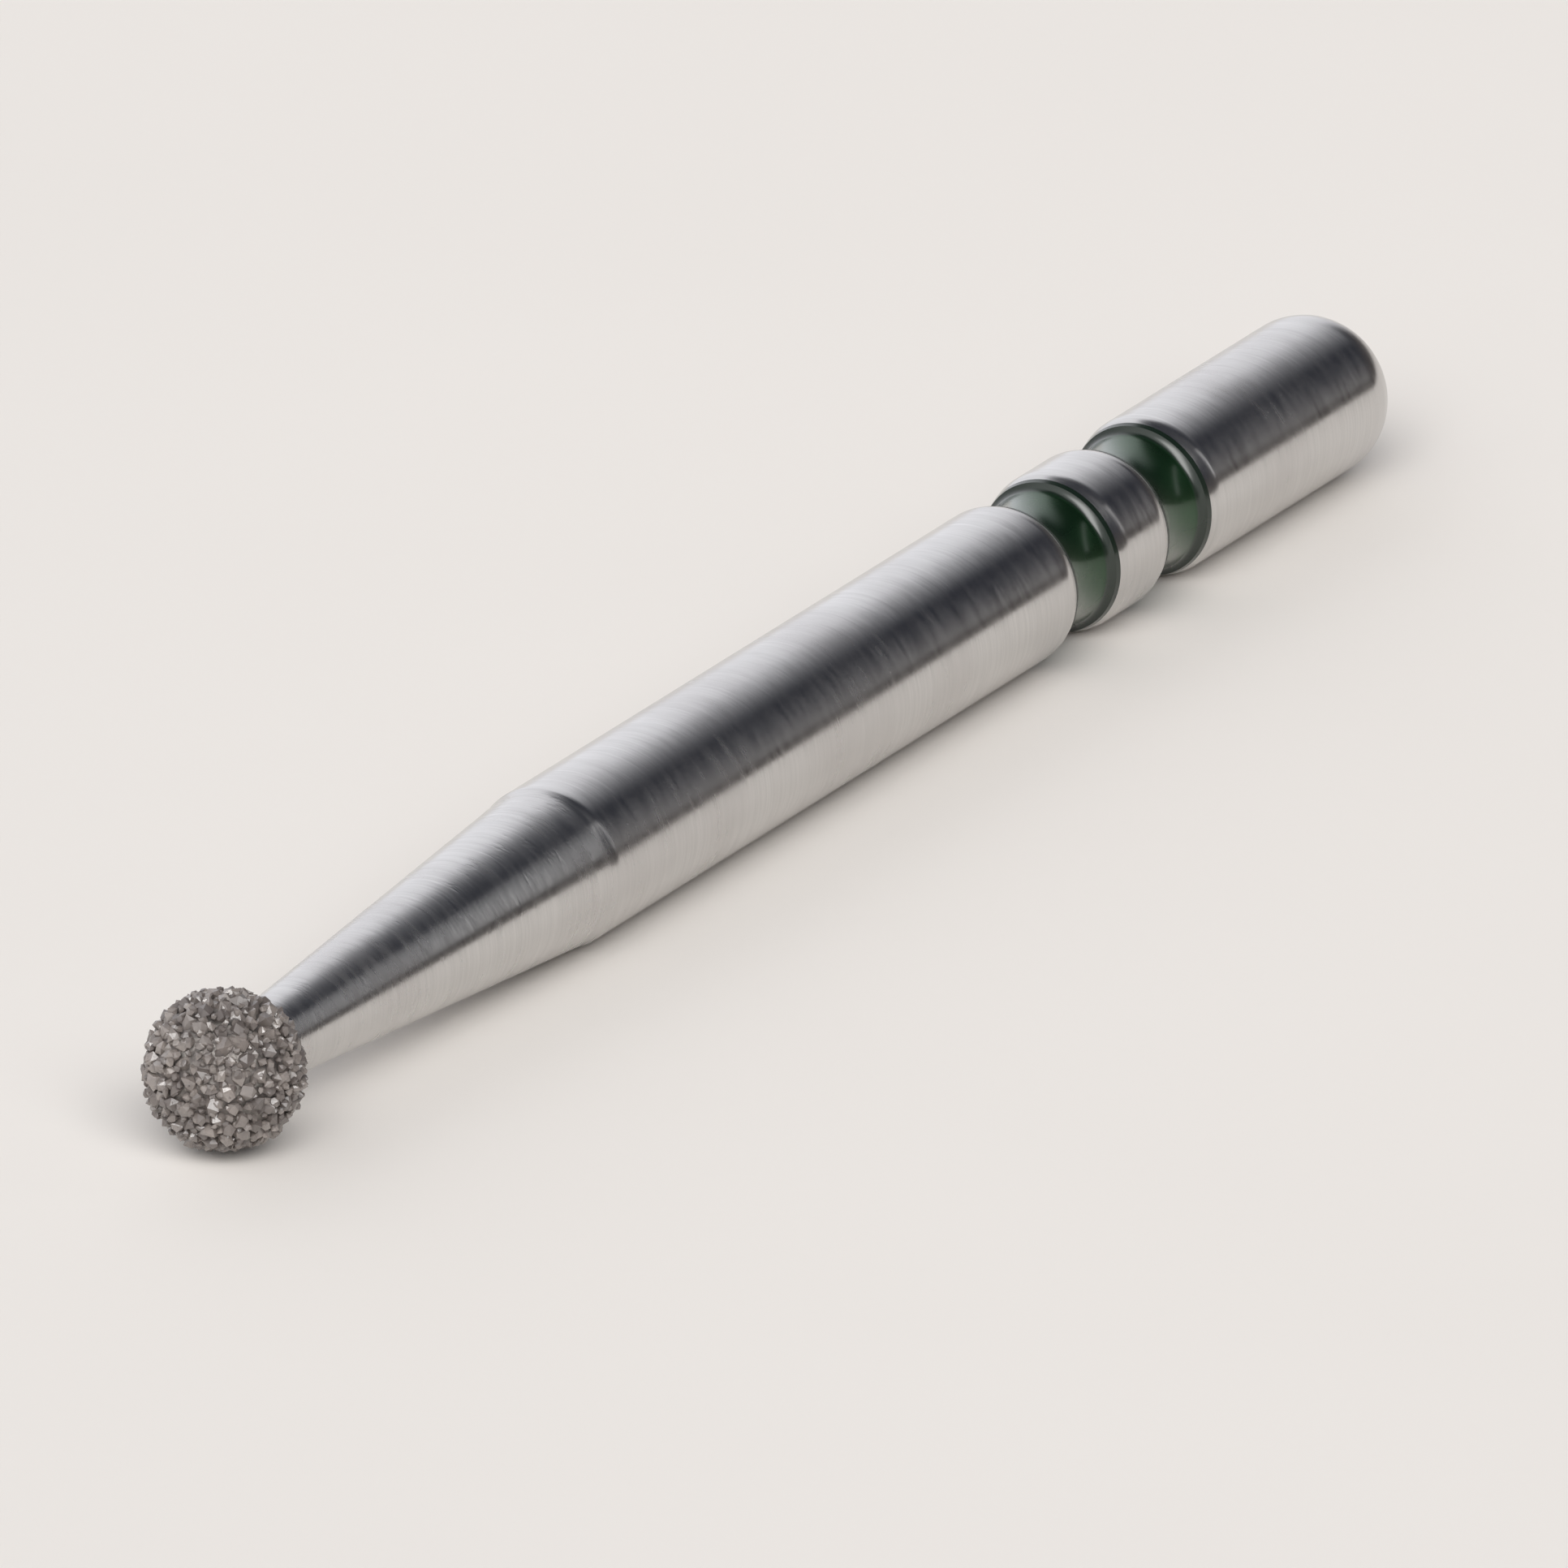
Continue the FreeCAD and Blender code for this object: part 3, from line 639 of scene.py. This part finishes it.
def diamond_grit(marks):
    """Grey-brown diamond grains, each of its own tone, some with bright clean facets."""
    material, tree, shader, where = new_material("diamond_grit")
    worn = effect(tree, marks, {"Vector": where, "Marks Per Millimetre": 14.0})
    tone = add_node(tree, "ShaderNodeAttribute", attribute_name="grain_tone").outputs["Fac"]
    colour = blend(tree, ramp(tree, tone, *GRAIN_TONES), GRAIN_DARK, GRAIN_LIGHT)
    colour = tint(tree, worn["Smudge"], GRAIN_DUST_SHARE, colour, GRAIN_DUST)
    clogged = effect(tree, marks, {"Vector": where, "Marks Per Millimetre": 2.6})["Smudge"]
    colour = tint(tree, clogged, GRAIN_CLOGGED_SHARE, colour, GRAIN_CLOGGED)
    tree.links.new(colour, shader.inputs["Base Color"])
    tree.links.new(ramp(tree, tone, 0.0, 1.0, *GRAIN_ROUGHNESS), shader.inputs["Roughness"])
    shader.inputs["IOR"].default_value = 2.0
    raise_surface(tree, shader, worn["Speck"], GRAIN_RELIEF)
    return material


def pale_paper():
    """The plain warm white floor."""
    material, tree, shader, where = new_material("pale_floor")
    noise = add_node(tree, "ShaderNodeTexNoise", {"Vector": where, "Scale": 90.0, "Detail": 3.0})
    colour = blend(tree, noise.outputs[0], FLOOR_DARK, FLOOR_LIGHT)
    tree.links.new(colour, shader.inputs["Base Color"])
    shader.inputs["Roughness"].default_value = 0.9
    shader.inputs["Specular IOR Level"].default_value = 0.2
    return material


# Outlines.

class Outline:
    """Points of half a lengthwise section, each with a mark for edges that are worn, or where lacquer thins
    and takes painted shade.
    """

    def __init__(self):
        self.points = []

    def add(self, x, radius, edge=0.0):
        """One point, never past the axis."""
        self.points.append((x, max(radius, 0.0), edge))

    def line(self, x, radius, steps=1):
        """A straight run of clean points from the last one."""
        x0, r0, _ = self.points[-1]
        for step in range(1, steps + 1):
            share = step / steps
            self.add(x0 + (x - x0) * share, r0 + (radius - r0) * share)

    def arc(self, centre_x, centre_radius, radius, start, end, steps):
        """A round stretch, from one angle to another in degrees."""
        for step in range(steps + 1):
            angle = math.radians(start + (end - start) * step / steps)
            self.add(centre_x + radius * math.cos(angle), centre_radius + radius * math.sin(angle))

    def make(self, name):
        """The outline as an object of points and edges."""
        mesh = bpy.data.meshes.new(name)
        edges = [(index, index + 1) for index in range(len(self.points) - 1)]
        mesh.from_pydata([(x, radius, 0.0) for x, radius, _ in self.points], edges, [])
        attribute = mesh.attributes.new("edge", "FLOAT", "POINT")
        attribute.data.foreach_set("value", [edge for _, _, edge in self.points])
        piece = bpy.data.objects.new(name, mesh)
        bpy.context.scene.collection.objects.link(piece)
        return piece


def sagging(outline, middle, edge_radius, sag, climb=0.0, backwards=False):
    """A line between a groove's walls that sags in its middle, and may climb the walls a little."""
    half = GROOVE_WIDTH / 2
    for step in range(SAG_STEPS + 1):
        turn = math.pi * (SAG_STEPS - step if backwards else step) / SAG_STEPS
        offset = -half * math.cos(turn)
        from_wall = half - abs(offset)
        radius = edge_radius - sag * (1.0 - (offset / half)**2)
        near = max(0.0, 1.0 - from_wall / LACQUER_CREEP)
        outline.add(middle + offset, radius + climb * near**3, near)


def lip(wall, outward):
    """The points of a slanting lip with a rounded outer end, from the shank to the groove's wall."""
    shank_end = wall + outward * LIP_LENGTH
    points = []
    for step in range(LIP_STEPS + 1):
        turn = LIP_ANGLE * step / LIP_STEPS
        x = shank_end + outward * (LIP_ROUND - LIP_ROUND_RADIUS * math.sin(turn))
        radius = SHANK_RADIUS - LIP_ROUND_RADIUS * (1.0 - math.cos(turn))
        points.append((x, radius, LIP_WEAR * step / LIP_STEPS))
    points.append((wall, LIP_FOOT, LIP_WEAR))
    return points if outward < 0 else points[::-1]


def groove(outline, middle):
    """One colour groove: a lip, a wall, the sagging floor, and the same again mirrored."""
    half = GROOVE_WIDTH / 2
    for point in lip(middle - half, -1.0):
        outline.add(*point)
    sagging(outline, middle, FLOOR_EDGE_RADIUS, FLOOR_SAG)
    for point in lip(middle + half, 1.0):
        outline.add(*point)


def taper_slope():
    """How much the taper's radius grows along the axis."""
    neck_x = BALL + math.sqrt(CORE_RADIUS**2 - NECK_RADIUS**2)
    return (SHANK_RADIUS - SHOULDER_STEP - NECK_RADIUS) / (-SHOULDER_LENGTH - neck_x)


def steel_blank_outline():
    """Ball core, neck, taper, shoulder, shank with its grooves, and the rounded rear end."""
    outline = Outline()
    neck_angle = math.degrees(math.asin(NECK_RADIUS / CORE_RADIUS))
    taper_end = -SHOULDER_LENGTH
    taper_radius = SHANK_RADIUS - SHOULDER_STEP
    rounding = SHANK_RADIUS - END_FLAT_RADIUS
    outline.arc(BALL, 0.0, CORE_RADIUS, 180.0, neck_angle, CORE_STEPS)
    support_radius = taper_radius - taper_slope() * SUPPORT_DISTANCE
    outline.line(taper_end - SUPPORT_DISTANCE, support_radius, TAPER_STEPS)
    outline.line(taper_end, taper_radius)
    outline.line(0.0, SHANK_RADIUS, SHOULDER_STEPS)
    outline.line(SUPPORT_DISTANCE, SHANK_RADIUS)
    outline.line(FRONT_BAND - GROOVE_WIDTH / 2 - LIP_LENGTH - 2 * LIP_ROUND, SHANK_RADIUS, SHANK_STEPS)
    groove(outline, FRONT_BAND)
    groove(outline, REAR_BAND)
    outline.line(REAR_END - rounding - SUPPORT_DISTANCE, SHANK_RADIUS, REAR_STEPS)
    outline.arc(REAR_END - rounding, END_FLAT_RADIUS, rounding, 90.0, 0.0, END_STEPS)
    outline.line(REAR_END, 0.0, END_FLAT_STEPS)
    return outline


def lacquer_outline(middle):
    """A ring of lacquer that sags between the walls, and runs up them and a little over the lips."""
    outline = Outline()
    half = GROOVE_WIDTH / 2
    film_rise = LIP_DROP * LACQUER_ON_LIP / LIP_LENGTH
    top, under = LIP_FOOT + LACQUER_FILM, LIP_FOOT - LACQUER_FILM
    outline.add(middle - half - LACQUER_ON_LIP, under + film_rise, 1.0)
    outline.add(middle - half - LACQUER_ON_LIP + LACQUER_FILM, top + film_rise, 1.0)
    sagging(outline, middle, LACQUER_EDGE_RADIUS, LACQUER_SAG, climb=BARE_WALL + LACQUER_FILM)
    outline.add(middle + half + LACQUER_ON_LIP - LACQUER_FILM, top + film_rise, 1.0)
    outline.add(middle + half + LACQUER_ON_LIP, under + film_rise, 1.0)
    sagging(outline, middle, FLOOR_EDGE_RADIUS, FLOOR_SAG, backwards=True)
    closing_point = outline.points[0]
    outline.add(*closing_point)
    return outline


def bond_outline():
    """The nickel round the ball core, which feathers out on the neck."""
    outline = Outline()
    outer_end = math.degrees(math.asin(NECK_RADIUS / BOND_RADIUS))
    inner_end = math.degrees(math.asin(NECK_RADIUS / CORE_RADIUS))
    outline.arc(BALL, 0.0, BOND_RADIUS, 180.0, outer_end, BOND_OUTER_STEPS)
    outline.arc(BALL, 0.0, CORE_RADIUS, inner_end, 180.0, BOND_INNER_STEPS)
    return outline


def turn_piece(name, outline, tree, finish):
    """A piece turned from its outline."""
    piece = outline.make(name)
    run_tree(tree, piece, {"Sides": TURNED_SIDES, "Join Distance": JOIN_DISTANCE, "Finish": finish})
    piece.data.set_sharp_from_angle(angle=SHARP_ANGLE)
    return piece


def declare(piece, node):
    """Ties a finished piece to the frame."""
    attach(piece, "root")
    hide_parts(node)


def grain_ground():
    """The part of the ball that grains sit on, as a plain mesh that ends short of the neck."""
    work = bmesh.new()
    bmesh.ops.create_icosphere(work, subdivisions=GROUND_DIVISIONS, radius=BOND_RADIUS)
    bmesh.ops.translate(work, verts=work.verts, vec=(BALL, 0.0, 0.0))
    limit = BALL + math.sqrt(BOND_RADIUS**2 - (NECK_CLEARANCE * NECK_RADIUS)**2)
    behind = [vertex for vertex in work.verts if vertex.co.x > limit]
    bmesh.ops.delete(work, geom=behind, context="VERTS")
    mesh = bpy.data.meshes.new("grain_ground")
    work.to_mesh(mesh)
    work.free()
    return mesh


def make_bur():
    """Every visible piece of the bur."""
    lines, marks = turning_lines_group(), handling_marks_group()
    turning = turning_tree()

    steel = ground_steel(lines, marks)
    blank = turn_piece("ground_blank", steel_blank_outline(), turning, steel)
    declare(blank, "steel_blank")

    lacquer = green_lacquer(marks)
    for name, node, middle in (("front_lacquer_ring", "green_band_front", FRONT_BAND),
                               ("rear_lacquer_ring", "green_band_rear", REAR_BAND)):
        ring = turn_piece(name, lacquer_outline(middle), turning, lacquer)
        declare(ring, node)

    centre = (BALL, 0.0, 0.0)
    bond_finish = nickel_bond(marks)
    bond = turn_piece("nickel_bond_skin", bond_outline(), turning, bond_finish)
    grains = bpy.data.objects.new("diamond_grains", grain_ground())
    bpy.context.scene.collection.objects.link(grains)
    run_tree(plating_tree(), bond, {
        "Lump Height": BOND_LUMP_HEIGHT, "Lumps Per Metre": BOND_LUMPS_PER_MM / MM, "Finish": bond_finish})
    declare(bond, "diamond_coat")
    run_tree(diamond_tree(grain_layer_tree(crystal_tree())), grains, {
        "Head Radius": HEAD_RADIUS, "Centre": centre, "Finish": diamond_grit(marks)})
    declare(grains, "diamond_coat")


# The stage.

FLOOR_SIZE = 6.0
FLOOR_DIVISIONS = 8


def make_floor():
    """A plain floor that the bur lies on."""
    work = bmesh.new()
    bmesh.ops.create_grid(work, x_segments=FLOOR_DIVISIONS, y_segments=FLOOR_DIVISIONS, size=FLOOR_SIZE / 2)
    mesh = bpy.data.meshes.new("floor")
    bmesh.ops.translate(work, verts=work.verts, vec=(0.0, 0.0, -SHANK_RADIUS))
    work.to_mesh(mesh)
    work.free()
    mesh.materials.append(pale_paper())
    floor = bpy.data.objects.new("floor", mesh)
    bpy.context.scene.collection.objects.link(floor)


def soft_patch_group():
    """A soft-edged patch of the surroundings, from the direction that is looked in."""
    tree, start, end = new_group("soft_patch", "ShaderNodeTree", [
        ("Looking", "NodeSocketVector", None),
        ("Centre", "NodeSocketVector", None),
        ("Across", "NodeSocketVector", None),
        ("Upright", "NodeSocketVector", None),
        ("Half Width", "NodeSocketFloat", 0.5),
        ("Half Height", "NodeSocketFloat", 0.5),
        ("Side Softness", "NodeSocketFloat", 0.1),
        ("Top Softness", "NodeSocketFloat", 0.1),
    ], [("Mask", "NodeSocketFloat", None)])
    given = start.outputs
    ahead = vector_maths(tree, "DOT_PRODUCT", given["Looking"], given["Centre"])
    sideways = vector_maths(tree, "DOT_PRODUCT", given["Looking"], given["Across"])
    upwards = vector_maths(tree, "DOT_PRODUCT", given["Looking"], given["Upright"])
    turn = maths(tree, "ABSOLUTE", maths(tree, "ARCTAN2", sideways, ahead))
    rise = maths(tree, "ABSOLUTE", maths(tree, "ARCSINE", upwards))
    masks = []
    for angle, half, softness in (
            (turn, given["Half Width"], given["Side Softness"]),
            (rise, given["Half Height"], given["Top Softness"])):
        outer = maths(tree, "ADD", half, softness)
        inner = maths(tree, "SUBTRACT", half, softness)
        masks.append(ramp(tree, angle, outer, inner))
    tree.links.new(maths(tree, "MULTIPLY", *masks), end.inputs["Mask"])
    return tree


# Patches of the studio, in degrees: azimuth and elevation of the middle, half width and half height,
# and how softly the sides and the top and bottom fade.
BRIGHT_SIDE = (-162.0, 47.0, 60.0, 32.0, 14.0, 12.0)
DARK_FLAG = (-48.0, 20.0, 78.0, 48.0, 15.0, 10.0)
WINDOW = (52.0, 12.0, 39.0, 36.0, 27.0, 6.0)
DARK_SILL = (-6.0, 10.0, 20.0, 20.0, 8.0, 6.0)
DARK_CEILING = (15.0, 78.0, 30.0, 24.0, 6.0, 6.0)
STRIP_LIGHT = (-44.0, 27.0, 2.2, 17.0, 2.2, 3.0)
KEY_LIGHT = (-144.0, 43.0, 29.0, 15.0, 9.0, 9.0)

# How bright each patch is. A later one covers the earlier ones, and None stands for dark card.
ROOM_LIGHT = (0.50, 0.50, 0.52)
DARK_CARD_LOW = (0.095, 0.085, 0.082)
DARK_CARD_HIGH = (0.03, 0.033, 0.045)
PATCHES = (
    (BRIGHT_SIDE, (0.92, 0.92, 0.93)),
    (DARK_FLAG, None),
    (WINDOW, (1.11, 1.12, 1.18)),
    (DARK_SILL, None),
    (DARK_CEILING, None),
    (STRIP_LIGHT, (1.15, 1.15, 1.17)),
    (KEY_LIGHT, (5.9, 5.85, 5.8)),
)


def make_studio():
    """Pale even light all round, a dark flag and ceiling that the steel mirrors, and two soft lights."""
    world = bpy.data.worlds.new("studio")
    bpy.context.scene.world = world
    world.use_nodes = True
    tree = world.node_tree
    background = tree.nodes["Background"]
    looking = add_node(tree, "ShaderNodeTexCoord").outputs["Generated"]
    patch_group = soft_patch_group()

    def patch(azimuth, elevation, half_width, half_height, side_softness, top_softness):
        """The mask of one patch."""
        centre = direction(azimuth, elevation)
        across = direction(azimuth + 90.0, 0.0)
        return effect(tree, patch_group, {
            "Looking": looking, "Centre": centre, "Across": across, "Upright": centre.cross(across),
            "Half Width": math.radians(half_width), "Half Height": math.radians(half_height),
            "Side Softness": math.radians(side_softness),
            "Top Softness": math.radians(top_softness)})["Mask"]

    height = add_node(tree, "ShaderNodeSeparateXYZ", {0: looking}).outputs["Z"]
    dark = blend(tree, ramp(tree, height, 0.0, 0.5), DARK_CARD_LOW, DARK_CARD_HIGH)
    colour = ROOM_LIGHT
    for place, light in PATCHES:
        colour = blend(tree, patch(*place), colour, dark if light is None else light)
    tree.links.new(colour, background.inputs["Color"])


def make_camera():
    """A long lens at the picture's viewing angle."""
    towards = direction(CAMERA_AZIMUTH, CAMERA_ELEVATION)
    right = Vector((0.0, 0.0, 1.0)).cross(towards).normalized()
    up = towards.cross(right)
    aim = Vector((AIM_X, 0.0, 0.0)) - right * AIM_RIGHT - up * AIM_UP
    data = bpy.data.cameras.new("camera")
    data.sensor_width = SENSOR
    data.lens = LENS
    camera = bpy.data.objects.new("camera", data)
    camera.location = aim + towards * (LENS * PICTURE_WIDTH / SENSOR)
    camera.rotation_euler = towards.to_track_quat("Z", "Y").to_euler()
    bpy.context.scene.collection.objects.link(camera)
    bpy.context.scene.camera = camera


make_camera()
make_bur()
make_floor()
make_studio()
bpy.context.scene.view_settings.view_transform = "Standard"
